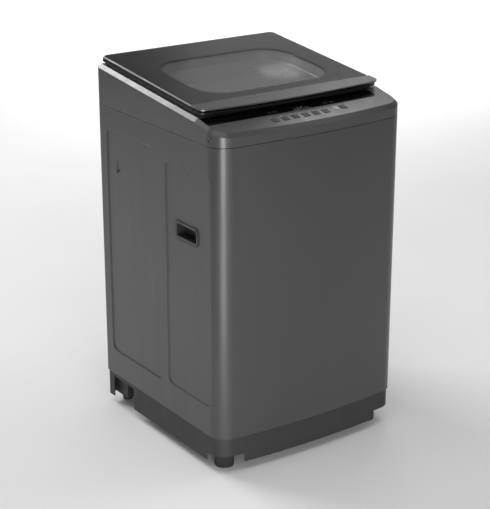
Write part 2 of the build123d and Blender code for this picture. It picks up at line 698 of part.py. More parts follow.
def lid_bumpers():
    """Rubber buttons that land on the dark deck when the lid shuts."""
    rest = -DECK_BELOW_LID + DECK_TRIM_H + 0.2
    found = []
    for x in BUMPER_X:
        for y in BUMPER_Y:
            pad = extrude(Plane(origin=(x, y, rest)) * Circle(6), -GLASS_T - UNDER_GAP - rest)
            found.append(LID_PLANE.location * pad)
    return found


# ---------------------------------------------------------------- suspension
LUG_T = 12.0
WASHER_R = 17.0
SPRING_R = 13.0
SPRING_WIRE = 1.8
SPRING_TURNS = 6
GUSSET_Z = (846.0, 850.0)
GUSSET_IN = 22.0
HEAD_R = 8.0


def rod_places():
    """Where the four rods hang, from above."""
    return [(sx * ROD_X, TUB_Y + sy * ROD_Y) for sx in (-1, 1) for sy in (-1, 1)]


def corner_brackets():
    """Steel gussets in the cabinet's upper corners that the rods hang from."""
    found = []
    for x, y in rod_places():
        side, back = math.copysign(1, x), math.copysign(1, y)
        across = sorted((x - side * GUSSET_IN, side * 300))
        along = sorted((y - back * GUSSET_IN, back * 295))
        gusset = box(across, along, GUSSET_Z) & upright(plan(SHEET), 800, 900)
        found.append(gusset - tube(ROD_R + 1.2, 0, 800, 900, x, y))
    return found


def suspension_rods():
    """Rods with a ball head in the gusset and a washer below the spring."""
    found = []
    for x, y in rod_places():
        seat = GUSSET_Z[1]
        ball = Location((x, y, seat + 7)) * Sphere(HEAD_R)
        ball -= box((x - 10, x + 10), (y - 10, y + 10), (seat - 10, seat))
        bar = tube(ROD_R, 0, SPRING_Z[0] - 12, seat + 6, x, y) + ball
        bar += tube(WASHER_R, 0, SPRING_Z[0] - 4, SPRING_Z[0], x, y)
        found.append(bar)
    return found


def suspension_springs():
    """Coil springs between the tub's lugs and the rods' washers."""
    low, high = SPRING_Z
    margin = SPRING_WIRE + 0.15
    length = high - low - 2 * margin
    coil = Helix(pitch=length / SPRING_TURNS, height=length, radius=SPRING_R)
    wire = sweep(Plane(origin=coil @ 0, z_dir=coil % 0) * Circle(SPRING_WIRE), path=coil)
    return [Location((x, y, low + margin)) * wire for x, y in rod_places()]


# ---------------------------------------------------------------- tub
SUMP = (-150.0, 5.0)
SUMP_R = 20.0
SUMP_LOW = 212.0
TUB_FLOOR_T = 4.0
TUB_RIBS = (330.0, 520.0, 700.0)
LUG_ARM = 34.0
COVER_IN = 206.0


def ring_profile(points):
    """A solid of revolution about the tub's axis from (radius, height) points."""
    face = make_face(Polyline(*points, close=True))
    return Location((0, TUB_Y, 0)) * revolve(Plane.XZ * face, Axis.Z)


def outer_tub():
    """Plastic tub with hoops, four spring lugs, a centre hole and a sump outlet."""
    inner, low = TUB_R - TUB_T, TUB_BOTTOM
    tub = tube(TUB_R, 0, low, TUB_TOP) - tube(inner, 0, low + TUB_FLOOR_T, TUB_TOP + 1)
    for height in TUB_RIBS:
        tub += tube(TUB_R + 4, TUB_R - 1, height, height + 4)
    for x, y in rod_places():
        angle = math.degrees(math.atan2(y - TUB_Y, x))
        reach = math.hypot(x, y - TUB_Y)
        arm = Location((0, TUB_Y, SPRING_Z[1]), (0, 0, angle)) * (
            Location(((TUB_R + reach) / 2, 0, LUG_T / 2)) * Box(reach - TUB_R + 8, LUG_ARM, LUG_T)
        )
        rib = Location((0, TUB_Y, SPRING_Z[1] + LUG_T), (0, 0, angle)) * (
            Location((TUB_R + 10, 0, 15)) * Box(24, 6, 32)
        )
        lug = arm + rib + tube(18, 0, SPRING_Z[1], SPRING_Z[1] + LUG_T + 6, x, y)
        lug -= tube(inner + 1, 0, 200, 900)
        tub += lug - tube(ROD_R + 0.08, 0, 200, 900, x, y)
    tub -= tube(46, 0, low - 1, low + 5)
    tub += tube(SUMP_R, 0, SUMP_LOW, low + 1, *SUMP)
    return tub - tube(SUMP_R - TUB_T, 0, SUMP_LOW - 12, low + TUB_FLOOR_T + 1, *SUMP)


def tub_cover_ring():
    """Splash ring snapped over the tub's rim."""
    wall = 2.4
    inside, outside = TUB_R + 0.6, TUB_R + 0.6 + wall
    low, lip = TUB_TOP - 14, COVER_TOP - 8
    profile = [(inside, low), (outside, low), (outside, COVER_TOP - 4), (outside - 4, COVER_TOP)]
    profile += [(COVER_IN, COVER_TOP), (COVER_IN, lip), (COVER_IN + wall, lip)]
    profile += [(COVER_IN + wall, COVER_TOP - wall), (inside, COVER_TOP - wall)]
    return ring_profile(profile)


CARRIER_X = (-120.0, 225.0)
CARRIER_HALF = 110.0
CARRIER_Z = (228.0, 231.5)
HOUSING_Z = (152.0, 218.0)      # the clutch housing's drum, bottom and top
BEARING_Z = ((156.0, 172.0), (200.0, 216.0))
SEAL_Z = (230.0, 241.0)
CAN_Z = (150.0, 208.0)          # the motor's can, bottom and top
CAN_R = 60.0
BELL_R = 50.0
ROTOR_R = 40.0
MOTOR_BOLTS = 52.0


def around(radius, first, count):
    """Offsets of evenly spaced places on a circle."""
    turns = [math.radians(first + 360 * i / count) for i in range(count)]
    return [(radius * math.cos(turn), radius * math.sin(turn)) for turn in turns]


def drive_base_plate():
    """Steel carrier under the tub for the clutch and the motor."""
    plate = box(CARRIER_X, (TUB_Y - CARRIER_HALF, TUB_Y + CARRIER_HALF), CARRIER_Z)
    plate = fillet(plate.edges().filter_by(Axis.Z), 30)
    low, high = CARRIER_Z[0] - 8, CARRIER_Z[1] + 8
    plate -= tube(60, 0, low, high)
    for x, y in around(80, 30, 6):
        plate -= tube(4.5, 0, low, high, x, TUB_Y + y)
    return plate - tube(13, 0, low, high, MOTOR_X, TUB_Y)


def clutch_housing():
    """Aluminium housing for both bearings, flanged to the carrier plate."""
    bore, (low, high), seat = BEARING_R, HOUSING_Z, CARRIER_Z[0]
    profile = [(bore, low), (54, low), (58, low + 6), (58, high), (94, high + 4), (94, seat), (bore, seat)]
    housing = ring_profile(profile)
    housing += tube(45.5, bore, seat - 2, seat + 16)
    housing += tube(bore + 1, 24, 180, 190)
    for angle in range(30, 390, 60):
        web = Location((70, 0, 0)) * Box(30, 5, 34)
        housing += Location((0, TUB_Y, high - 13), (0, 0, angle)) * web
    return housing


def bearings():
    """Two ball bearings, drawn as plain rings."""
    return [tube(BEARING_R, SPIN_TUBE_R + RUN, low, high) for low, high in BEARING_Z]


def shaft_seal():
    """Lip seal between the tub and the upper bearing."""
    return tube(BEARING_R - 0.1, SPIN_TUBE_R + RUN, *SEAL_Z)


def motor_housing():
    """Induction motor can with end bells, hung from the carrier plate."""
    x, y = MOTOR_X, TUB_Y
    low, high = CAN_Z
    body = tube(CAN_R, 0, low, high, x, y)
    body += tube(BELL_R, 0, low - 8, low, x, y) + tube(BELL_R, 0, high, high + 14, x, y)
    for dx, dy in around(MOTOR_BOLTS, 45, 4):
        body += tube(7, 0, high - 8, CARRIER_Z[0], x + dx, y + dy)
    body -= tube(ROTOR_R + 4, 0, low - 4, high + 6, x, y)
    return body - tube(MOTOR_SHAFT_R + RUN, 0, low - 10, high + 22, x, y)


def motor_rotor():
    """Rotor stack on the motor shaft."""
    x, y = MOTOR_X, TUB_Y
    low, high = CAN_Z
    shaft = tube(MOTOR_SHAFT_R, 0, PULLEY_Z - 8, high + 18, x, y)
    return shaft + tube(ROTOR_R, 0, low + 2, high - 2, x, y)


def pulley(pitch, bore, x):
    """Grooved pulley with a web and a hub."""
    groove, rim = pitch - BELT_T / 2 - 0.3, pitch + 6
    low, high = PULLEY_Z, PULLEY_Z + PULLEY_H
    wheel = tube(rim, bore, low, high, x, TUB_Y)
    middle = (low + high) / 2
    half = BELT_H / 2 + 0.4
    wheel -= tube(rim + 1, groove, middle - half, middle + half, x, TUB_Y)
    if pitch == PULLEY_PITCH:
        for z in (low - 1, high - 4):
            wheel -= tube(groove - 8, bore + 9, z, z + 5, x, TUB_Y)
        for dx, dy in around(40, 0, 6):
            wheel -= tube(12, 0, low - 1, high + 1, x + dx, TUB_Y + dy)
    return wheel


def belt_outline(offset):
    """Outline of the belt's loop at a distance from its pitch line."""
    big, small = PULLEY_PITCH + offset, MOTOR_PITCH + offset
    lean = math.acos((big - small) / MOTOR_X)
    cx, cy = math.cos(lean), math.sin(lean)
    a, b = (big * cx, big * cy), (MOTOR_X + small * cx, small * cy)
    far = ThreePointArc((a[0], -a[1]), (-big, 0), a)
    near = ThreePointArc(b, (MOTOR_X + small, 0), (b[0], -b[1]))
    upper, lower = Line(a, b), Line((b[0], -b[1]), (a[0], -a[1]))
    edges = far.edges() + upper.edges() + near.edges() + lower.edges()
    return Location((0, TUB_Y, 0)) * make_face(edges)


def drive_belt():
    """Belt round both pulleys."""
    middle = PULLEY_Z + PULLEY_H / 2
    loop = belt_outline(BELT_T / 2) - belt_outline(-BELT_T / 2)
    return upright(loop, middle - BELT_H / 2, middle + BELT_H / 2)


# ---------------------------------------------------------------- basket and pulsator
DRUM_HOLE_R = 4.0
DRUM_ROWS = 7
DRUM_ROW_PITCH = 62.0
DRUM_COLUMNS = 18
FILTER_CLEAR = 16.0             # degrees either side of a filter that have no holes
HUB_R = 40.0
RING_LOW = 808.0
RING_TOP = 860.0
FILTER_IN = 222.0
FILTER_HALF = 42.0
FILTER_Z = (430.0, 620.0)
FILTER_SLOTS = 5


def basket():
    """Perforated steel drum with a bevelled corner and a flat floor."""
    low, high, hem = BASKET_BOTTOM, BASKET_TOP, BASKET_HEM
    inner, floor = BASKET_R - BASKET_T, BASKET_BOTTOM + BASKET_FLOOR_T
    profile = [(HUB_R, low), (BASKET_R - hem, low), (BASKET_R, low + hem), (BASKET_R, high)]
    profile += [(inner, high), (inner, floor + hem), (inner - hem, floor), (HUB_R, floor)]
    drum = ring_profile(profile)
    holes = []
    step = 360 / DRUM_COLUMNS
    for row in range(DRUM_ROWS):
        for column in range(DRUM_COLUMNS):
            angle = column * step + (row % 2) * step / 2
            if abs((angle + 90) % 180 - 90) < FILTER_CLEAR:
                continue
            place = Location((0, TUB_Y, low + 110 + row * DRUM_ROW_PITCH), (0, 0, angle))
            pin = Location((inner, 0, 0)) * (Rotation(0, 90, 0) * Cylinder(DRUM_HOLE_R, 12))
            holes.append(place * pin)
    return drum - holes


def balance_ring():
    """Fluid-filled ring that closes the drum's mouth."""
    inner, low, high = BASKET_R - BASKET_T - 0.2, RING_LOW, RING_TOP
    seat = BASKET_TOP + 0.3
    profile = [(RING_IN, low + 8), (RING_IN + 5, low), (inner, low), (inner, seat), (RING_OUT, seat)]
    profile += [(RING_OUT, high - 6), (RING_OUT - 6, high), (RING_IN + 6, high), (RING_IN, high - 6)]
    return ring_profile(profile)


def basket_hub():
    """Aluminium spider that ties the drum to its drive tube."""
    top = BASKET_BOTTOM
    hub = tube(HUB_R + 4, SPIN_TUBE_R, top - 14, top)
    for angle in range(0, 360, 60):
        arm = Location((100, 0, 0)) * Box(150, 22, 10)
        hub += Location((0, TUB_Y, top - 5), (0, 0, angle)) * arm
    hub += tube(182, 168, top - 6, top)
    return hub - tube(SPIN_TUBE_R, 0, 200, 300)


def spin_tube():
    """Hollow shaft that turns the drum, with a flange on its floor."""
    bore, top = SHAFT_R + RUN, BASKET_BOTTOM + 6
    return tube(SPIN_TUBE_R, bore, 140, top) + tube(HUB_R - 0.5, bore, BASKET_BOTTOM, top)


def lint_filters():
    """Two filter cassettes on the drum's wall."""
    found = []
    low, high = FILTER_Z
    for side in (-1, 1):
        reach = sorted((side * 180, side * 260))
        half = FILTER_HALF
        cassette = tube(BASKET_R - BASKET_T - 0.2, FILTER_IN, low, high)
        cassette &= box(reach, (TUB_Y - half, TUB_Y + half), (low, high))
        hollow = tube(BASKET_R + 2, FILTER_IN + 4, low + 10, high - 20)
        cassette -= hollow & box(reach, (TUB_Y - half + 8, TUB_Y + half - 8), (low, high))
        face = sorted((side * 200, side * 232))
        for row in range(FILTER_SLOTS):
            z = low + 32 + 26 * row
            cassette -= box(face, (TUB_Y - half + 16, TUB_Y + half - 16), (z, z + 12))
        found.append(cassette)
    return found


PULSATOR_R = 168.0
PULSATOR_Z = 284.0
BOSS_TOP = 40.0                 # the pulsator's centre above its underside
VANE_T = 9.0
VANE_H = 20.0
VANE_BOW = 26.0


def pulsator():
    """Dished disc with six curved vanes and a raised centre."""
    base, rim, boss = PULSATOR_Z, PULSATOR_R, PULSATOR_Z + BOSS_TOP
    profile = [(SHAFT_R, base), (rim - 4, base), (rim, base + 4), (rim, base + 10)]
    profile += [(rim - 6, base + 12), (60, base + 9), (40, boss - 6), (24, boss), (SHAFT_R, boss)]
    disc = ring_profile(profile) - tube(150, 30, base - 1, base + 3)
    spine = ThreePointArc((34, 0), (92, VANE_BOW), (rim - 14, VANE_BOW))
    vane = extrude(trace(spine, VANE_T), VANE_H)
    for angle in range(0, 360, 60):
        placed = Location((0, TUB_Y, base + 6), (0, 0, angle)) * vane
        disc += placed - tube(SHAFT_R + 6, 0, 200, 400)
    return disc - tube(SHAFT_R, 0, 200, 400)


def pulsator_shaft():
    """Splined drive shaft from the pulley up to the pulsator."""
    shaft = tube(SHAFT_R, 0, PULLEY_Z - 6, PULSATOR_Z + BOSS_TOP)
    return shaft + tube(16, SHAFT_R - 1, 270, PULSATOR_Z - 0.2)


def pulsator_cap():
    """Cap over the pulsator's bolt."""
    return tube(22, 0, PULSATOR_Z + BOSS_TOP, PULSATOR_Z + BOSS_TOP + 6)


# ---------------------------------------------------------------- drain
PUMP = (-150.0, 5.0)
PUMP_Z = (96.0, 134.0)
PUMP_R = 40.0
PUMP_WALL = 4.0
PUMP_INLET = (21.0, 17.0)       # the inlet on top, outside and inside
PUMP_OUTLET = (13.0, 10.0)      # the outlet at the back, outside and inside
PUMP_AXLE_R = 3.0
HOSE = (15.0, 11.4)             # the inner drain hose, outside and inside
BELLOWS = (25.0, 21.0)
BELLOWS_T = 2.5
FOLDS = 5


def sump_bellows():
    """Rubber bellows from the tub's outlet down to the pump."""
    low, high = PUMP_Z[1] + 12, SUMP_LOW
    step = (high - low) / FOLDS
    outer_line = [(BELLOWS[0] if i % 2 else BELLOWS[1], low + i * step / 2) for i in range(2 * FOLDS + 1)]
    inner_line = [(r - BELLOWS_T, z) for r, z in reversed(outer_line)]
    face = make_face(Polyline(*(outer_line + inner_line), close=True))
    return Location((*PUMP, 0)) * revolve(Plane.XZ * face, Axis.Z)


def drain_pump():
    """Pump housing with a volute, its inlet on top and its outlet at the back."""
    x, y = PUMP
    low, high = PUMP_Z
    inlet_out, inlet_in = PUMP_INLET
    outlet_out, outlet_in = PUMP_OUTLET
    pump = tube(PUMP_R, 0, low, high, x, y)
    pump -= tube(PUMP_R - PUMP_WALL, 0, low + PUMP_WALL, high - 3, x, y)
    pump += tube(inlet_out, 0, high - 3, high + 12, x, y)
    pump -= tube(inlet_in, 0, high - 4, high + 13, x, y)
    outlet = Plane(origin=(x, y + PUMP_R - 6, (low + high) / 2), z_dir=(0, 1, 0))
    pump += extrude(outlet * Circle(outlet_out), 26)
    pump -= extrude(outlet.offset(-4) * Circle(outlet_in), 40)
    motor_low = low - 34
    pump += tube(24, 0, motor_low, low, x, y)
    pump -= tube(PUMP_AXLE_R + RUN, 0, low - 20, low + 5, x, y)
    shelf_x = (SKIRT_INSET + 3 - WIDTH / 2, x + 60)
    return pump + box(shelf_x, (y - 34, y + 34), (motor_low - 8, motor_low))


def pump_impeller():
    """Six straight blades on a disc and an axle."""
    x, y = PUMP
    low = PUMP_Z[0]
    wheel = tube(PUMP_AXLE_R, 0, low - 16, low + 24, x, y) + tube(26, 0, low + 7, low + 10, x, y)
    blade = Location((15, 0, 0)) * Box(22, 2.4, 15)
    for angle in range(0, 360, 60):
        wheel += Location((x, y, low + 17), (0, 0, angle)) * blade
    return wheel


def drain_hose():
    """Internal hose from the pump up to the outlet spigot."""
    x, low, high = PUMP[0], sum(PUMP_Z) / 2, SPIGOT[1]
    start, end = PUMP[1] + PUMP_R + 20, SPIGOT_IN
    path = FilletPolyline((x, start, low), (x, 130, low), (x, 200, high), (x, end, high), radius=50)
    section = Circle(HOSE[0]) - Circle(HOSE[1])
    return sweep(Plane(origin=path @ 0, z_dir=path % 0) * section, path=path)


# ---------------------------------------------------------------- write every piece
def main():
    os.makedirs("parts", exist_ok=True)
    save("cabinet_shell", cabinet_shell())
    save("rear_panel", rear_panel())
    save("case_screws", *case_screws())
    save("side_grips", side_grip(-1), side_grip(1))
    save("base_skirt", base_skirt())
    save("foot_front_left", foot_front(-1))
    save("foot_front_right", foot_front(1))
    save("rear_feet", *rear_feet())
    save("top_frame", top_frame())
    save("deck_trim", deck_trim())
    save("display_panel", display_panel())
    save("loading_collar", loading_collar())
    save("hinge_brackets", *hinge_brackets())
    save("control_board", control_board())
    for name, x, s in key_places():
        save(name, key(x, s))
    save("lid_lock", lid_lock())
    save("inlet_valve", inlet_valve())
    save("detergent_housing", detergent_housing())
    save("detergent_drawer", detergent_drawer())
    save("drain_outlet", drain_outlet())
    save("cord_gland", cord_gland())
    save("lid_frame", lid_frame())
    save("lid_glass", lid_glass())
    save("lid_handle_strip", lid_handle_strip())
    save("lid_window_bowl", lid_window_bowl())
    save("lid_hinge_pins", *lid_hinge_pins())
    save("lid_bumpers", *lid_bumpers())
    save("corner_brackets", *corner_brackets())
    save("suspension_rods", *suspension_rods())
    save("suspension_springs", *suspension_springs())
    save("outer_tub", outer_tub())
    save("tub_cover_ring", tub_cover_ring())
    save("drive_base_plate", drive_base_plate())
    save("clutch_housing", clutch_housing())
    save("bearings", *bearings())
    save("shaft_seal", shaft_seal())
    save("motor_housing", motor_housing())
    save("motor_rotor", motor_rotor())
    save("motor_pulley", pulley(MOTOR_PITCH, 8, MOTOR_X))
    save("drive_pulley", pulley(PULLEY_PITCH, SHAFT_R, 0))
    save("drive_belt", drive_belt())
    save("basket", basket())
    save("balance_ring", balance_ring())
    save("basket_hub", basket_hub())
    save("spin_tube", spin_tube())
    save("lint_filters", *lint_filters())
    save("pulsator", pulsator())
    save("pulsator_shaft", pulsator_shaft())
    save("pulsator_cap", pulsator_cap())
    save("sump_bellows", sump_bellows())
    save("drain_pump", drain_pump())
    save("pump_impeller", pump_impeller())
    save("drain_hose", drain_hose())


main()
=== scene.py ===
import json
import math

import bmesh
import bpy
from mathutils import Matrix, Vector


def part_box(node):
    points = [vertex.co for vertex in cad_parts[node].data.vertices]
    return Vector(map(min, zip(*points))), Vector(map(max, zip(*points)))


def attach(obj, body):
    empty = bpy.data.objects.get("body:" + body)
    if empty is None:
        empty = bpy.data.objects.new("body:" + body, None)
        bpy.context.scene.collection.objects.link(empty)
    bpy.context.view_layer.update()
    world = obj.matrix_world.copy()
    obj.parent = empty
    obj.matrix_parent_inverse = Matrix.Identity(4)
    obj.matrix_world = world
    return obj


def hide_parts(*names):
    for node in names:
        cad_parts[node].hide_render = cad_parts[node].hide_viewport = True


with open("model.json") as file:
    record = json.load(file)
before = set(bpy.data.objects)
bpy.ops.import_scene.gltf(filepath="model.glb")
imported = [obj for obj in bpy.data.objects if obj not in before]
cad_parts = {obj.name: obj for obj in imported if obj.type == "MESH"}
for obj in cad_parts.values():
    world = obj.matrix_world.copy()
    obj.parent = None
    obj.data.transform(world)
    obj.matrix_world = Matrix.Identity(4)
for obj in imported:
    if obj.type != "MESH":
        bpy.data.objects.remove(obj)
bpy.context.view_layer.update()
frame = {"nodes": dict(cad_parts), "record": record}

# Looks for a top load washing machine. Metres, in the row's frame: origin on the floor under
# the middle of the machine, the front towards -Y, the back towards +Y and +Z up.

NODES = frame["nodes"]

# ---- the camera, in front of the left front corner and looking down a little ----
CAMERA_AT = (-2.2157, -3.1248, 1.8634)
CAMERA_TURN = (70.066, 0.0, -35.146)      # degrees about X, Y and Z
LENS = 104.8
SENSOR = 36.0
SEES_TO = 100.0

# ---- the two slopes of the top, rise over run ----
FRONT_SLOPE = 0.23
REAR_SLOPE = 0.1078

# ---- the lid, laid flat from its rear edge and then tipped onto the rear slope.
# The window is measured from the lid's middle line and rear edge, the dish from the window ----
LID_REAR = (0.2927, 1.015)                # Y and Z of its rear edge
WINDOW_HALF = 0.212
WINDOW_REAR = 0.121
WINDOW_FRONT = 0.411
WINDOW_R = 0.090
CLEAR_INSET = 0.014                       # from the bowl's box to the edge of the clear glass
CLEAR_ALPHA = 0.30
DOT_REACH = 0.006                         # how far the print's dots spread over that edge
DISH_TOP = 0.0057                         # underside of the land that carries the bowl
DISH_FLANGE = 0.018
DISH_LIP = 0.0008                         # a low lip stands up through the land to the glass
DISH_RISE = 0.0022
DISH_EDGE = 0.0024                        # inset where the wall starts
DISH_THICK = 0.0016
DISH_WALL_RUN = 0.009
DISH_WALL_DROP = 0.020
DISH_SWEEP = 0.050                        # run of the curve from the wall into the floor
DISH_DEEP = 0.0325
DISH_SHARPEN = 0.55                       # how fast the corners tighten with the inset
DISH_CORNER = 18                          # points in each corner
DISH_STEPS = 12                           # rings in that curve

# ---- small things on the two side walls. Middles are Y and Z, and a ring's profile is
# rows of (inset from its outline, how far it stands out) ----
SIDE_X = 0.295
RING_CORNER = 10                          # points in each corner
GRIP_MIDDLE = (-0.1377, 0.6335)
GRIP_HALF = (0.0505, 0.0210)
GRIP_R = 0.0120
GRIP_LIP = ((0.0, -0.0002), (0.0004, 0.0008), (0.0016, 0.0014), (0.0034, 0.0008),
            (0.0040, -0.0020))
BOSS = (-0.244, 0.900)
BOSS_R = 0.0095
# profile of a flat near-black ring of painted shade over the groove round the boss
BOSS_SHADE = ((0.0, 0.00015), (0.0016, 0.00015))
SCREW_R = 0.0024
CLIP_HOLE = (0.1985, 0.716)
CLIP_R = 0.0043
# profile of a flat near-black disc of painted shade in the screw hole and in the clip hole
HOLE_SHADE = ((0.0, 0.00015), (0.0022, 0.00015))

# ---- keys and printed marks on the front slope: X across, S down the slope from the break ----
BREAK_Y = -0.1812
BREAK_Z = 0.942
PRINT = 0.00012                           # how far printed marks stand out
KEYS = 6
KEY_S = 0.0749
KEY_PITCH = 0.0319
KEY_FIRST_X = -0.1037
KEY_PROUD = 0.001
KEY_BARS = (                              # on each key: across, down, wide, tall
    (0.0, 0.0010, 0.0085, 0.0012),
    (0.0, -0.0022, 0.0050, 0.0010),
)
LABEL_BARS = (                            # above each key, in the same terms
    (-0.0040, -0.0138, 0.0085, 0.0034),
    (0.0030, -0.0128, 0.0030, 0.0011),
)
PAIR_X = (0.0915, 0.1145)
PAIR_S = 0.070
PAIR_REACH = 0.0125
PAIR_LINE = 0.0022                        # width of the frame's two lines
BURST_X = 0.003
BURST_S = 0.0475
BURST_WIDE = 0.025
BURST_TALL = 0.015
BURST_TICKS = 16
BURST_REACH = (1.05, 0.55, 0.82)          # the ticks' distances, taken in turn
TICK_LONG = 0.0058
TICK_WIDE = 0.0012
ROW_X = (-0.094, -0.076, 0.083, 0.104)
ROW_S = 0.0335
ROW_LINES = 2
ROW_SHIFT = (0.002, 0.0044)               # from one line to the next: across and down
ROW_BAR = (0.014, 0.0011)

# ---- shading ----
SMOOTH_BELOW = math.radians(28)
BEVEL_SAMPLES = 4
NOISE_SPAN = (0.3, 0.7)                   # where most of a noise texture's values lie
FINISHES = {"key_start": "key_silver"}    # nodes that don't wear their slot's material


# ------------------------------------------------------------------ building materials
class Look:
    """A node material being built, with short names for the steps most looks share."""

    def __init__(self, name, colour, roughness, metallic=0.0, **sockets):
        self.material = bpy.data.materials.new(name)
        self.material.use_nodes = True
        self.tree = self.material.node_tree
        self.shader = self.tree.nodes["Principled BSDF"]
        self.colour = colour
        self.set("Base Color", (*colour, 1.0))
        self.set("Roughness", roughness)
        self.set("Metallic", metallic)
        for socket, value in sockets.items():
            self.set(socket.replace("_", " "), value)
        self.place = self.tree.nodes.new("ShaderNodeTexCoord").outputs["Object"]
        self.normal = None

    def set(self, socket, value):
        self.shader.inputs[socket].default_value = value

    def link(self, source, target):
        self.tree.links.new(source, target)

    def node(self, kind, links=(), **inputs):
        """A node with its inputs set by name, or linked where links names them."""
        made = self.tree.nodes.new(kind)
        for name, value in inputs.items():
            made.inputs[name.replace("_", " ")].default_value = value
        for name, source in dict(links).items():
            self.link(source, made.inputs[name])
        return made

    def stretched(self, scale):
        """Object coordinates scaled by a different amount on each axis."""
        made = self.node("ShaderNodeMapping", {"Vector": self.place}, Scale=scale)
        return made.outputs["Vector"]

    def noise(self, scale, detail=4.0, rough=0.55, at=None):
        made = self.node("ShaderNodeTexNoise", {"Vector": at or self.place},
                         Scale=scale, Detail=detail, Roughness=rough)
        return made.outputs["Fac"]

    def cells(self, scale, output="Color", feature="F1"):
        made = self.node("ShaderNodeTexVoronoi", {"Vector": self.place}, Scale=scale)
        made.feature = feature
        return made.outputs[output]

    def math(self, operation, a, b=0.0):
        made = self.tree.nodes.new("ShaderNodeMath")
        made.operation = operation
        for socket, value in zip(made.inputs, (a, b)):
            if isinstance(value, (int, float)):
                socket.default_value = value
            else:
                self.link(value, socket)
        return made.outputs[0]

    def remap(self, source, low, high, to_low=0.0, to_high=1.0):
        """A value from low..high carried to to_low..to_high and clamped."""
        made = self.node("ShaderNodeMapRange", {"Value": source})
        ends = {"From Min": low, "From Max": high, "To Min": to_low, "To Max": to_high}
        for name, value in ends.items():
            made.inputs[name].default_value = value
        return made.outputs["Result"]

    def blend(self, factor, a, b):
        """Mixes two colours, each a colour or a socket."""
        made = self.tree.nodes.new("ShaderNodeMix")
        made.data_type = "RGBA"
        sockets = (made.inputs["Factor"], made.inputs[6], made.inputs[7])
        for socket, value in zip(sockets, (factor, a, b)):
            if isinstance(value, (int, float)):
                socket.default_value = value
            elif isinstance(value, tuple):
                socket.default_value = (*value, 1.0)
            else:
                self.link(value, socket)
        return made.outputs[2]

    def tint(self, source, amount, span=NOISE_SPAN):
        """Darkens and lightens the look's colour by amount, following source over its span."""
        spread = self.remap(source, *span)
        dark = tuple(c * (1 - amount) for c in self.colour)
        light = tuple(min(c * (1 + amount), 1.0) for c in self.colour)
        return self.blend(spread, dark, light)

    def paint(self, colour):
        self.link(colour, self.shader.inputs["Base Color"])

    def rough(self, source, low, high):
        self.link(self.remap(source, *NOISE_SPAN, low, high), self.shader.inputs["Roughness"])

    def bump(self, height, strength, distance):
        """Adds relief: distance is the height in metres of a step from 0 to 1."""
        made = self.node("ShaderNodeBump", {"Height": height}, Strength=strength, Distance=distance)
        if self.normal is not None:
            self.link(self.normal, made.inputs["Normal"])
        self.normal = made.outputs["Normal"]
        self.link(self.normal, self.shader.inputs["Normal"])

    def round_edges(self, radius):
        """Softens the shading of sharp edges, as a moulded or folded edge has."""
        made = self.node("ShaderNodeBevel", Radius=radius)
        made.samples = BEVEL_SAMPLES
        self.normal = made.outputs["Normal"]
        self.link(self.normal, self.shader.inputs["Normal"])

    def edges(self, radius, low=0.02, high=0.25):
        """1 near sharp edges and 0 on faces."""
        bevel = self.node("ShaderNodeBevel", Radius=radius)
        bevel.samples = BEVEL_SAMPLES
        true = self.tree.nodes.new("ShaderNodeNewGeometry").outputs["Normal"]
        dot = self.tree.nodes.new("ShaderNodeVectorMath")
        dot.operation = "DOT_PRODUCT"
        self.link(bevel.outputs["Normal"], dot.inputs[0])
        self.link(true, dot.inputs[1])
        off = self.math("SUBTRACT", 1.0, dot.outputs["Value"])
        return self.remap(off, low, high)

    def axis(self, name):
        """One object coordinate: X, Y or Z."""
        made = self.node("ShaderNodeSeparateXYZ", {"Vector": self.place})
        return made.outputs[name]


def painted_steel():
    """Dark metallic lacquer: fine flakes, faint orange peel and soft vertical streaks."""
    look = Look("painted_steel", (0.045, 0.045, 0.0465), 0.36, 0.2,
                Coat_Weight=0.4, Coat_Roughness=0.22)
    look.round_edges(0.0012)
    flakes = look.cells(2600.0, output="Distance")
    broad = look.noise(3.0, 3.0)
    streaks = look.noise(1.0, 5.0, 0.6, at=look.stretched((38.0, 38.0, 2.2)))
    colour = look.tint(broad, 0.035)
    colour = look.blend(look.remap(flakes, 0.1, 0.6, 0.0, 0.10), colour, (0.085, 0.085, 0.088))
    wear = look.math("MULTIPLY", look.edges(0.0015), look.remap(look.noise(60.0), 0.4, 0.7))
    look.paint(look.blend(look.math("MULTIPLY", wear, 0.25), colour, (0.2, 0.2, 0.2)))
    look.rough(streaks, 0.38, 0.46)
    look.bump(look.noise(420.0, 2.0), 0.12, 0.00005)
    look.bump(flakes, 0.08, 0.00002)
    return look.material


def moulded(name, colour, roughness, grain=900.0, depth=0.00006, amount=0.05, coat=0.0,
            edge=0.0007):
    """Moulded plastic: fine spark-eroded grain, cloudy colour and faint rub marks on edges."""
    look = Look(name, colour, roughness, Coat_Weight=coat, Coat_Roughness=0.2)
    look.round_edges(edge)
    clouds = look.noise(9.0, 4.0)
    fine = look.noise(grain, 3.0, 0.65)
    base = look.blend(look.remap(fine, *NOISE_SPAN, 0.0, 0.35), look.tint(clouds, amount),
                      tuple(c * 0.8 for c in colour))
    rub = look.math("MULTIPLY", look.edges(0.001), look.remap(look.noise(130.0), 0.45, 0.65))
    light = tuple(min(c * 1.7 + 0.02, 1.0) for c in colour)
    look.paint(look.blend(look.math("MULTIPLY", rub, 0.35), base, light))
    look.rough(look.noise(26.0, 5.0), roughness - 0.05, roughness + 0.06)
    look.bump(fine, 0.35, depth)
    look.bump(clouds, 0.05, 0.0002)
    return look.material


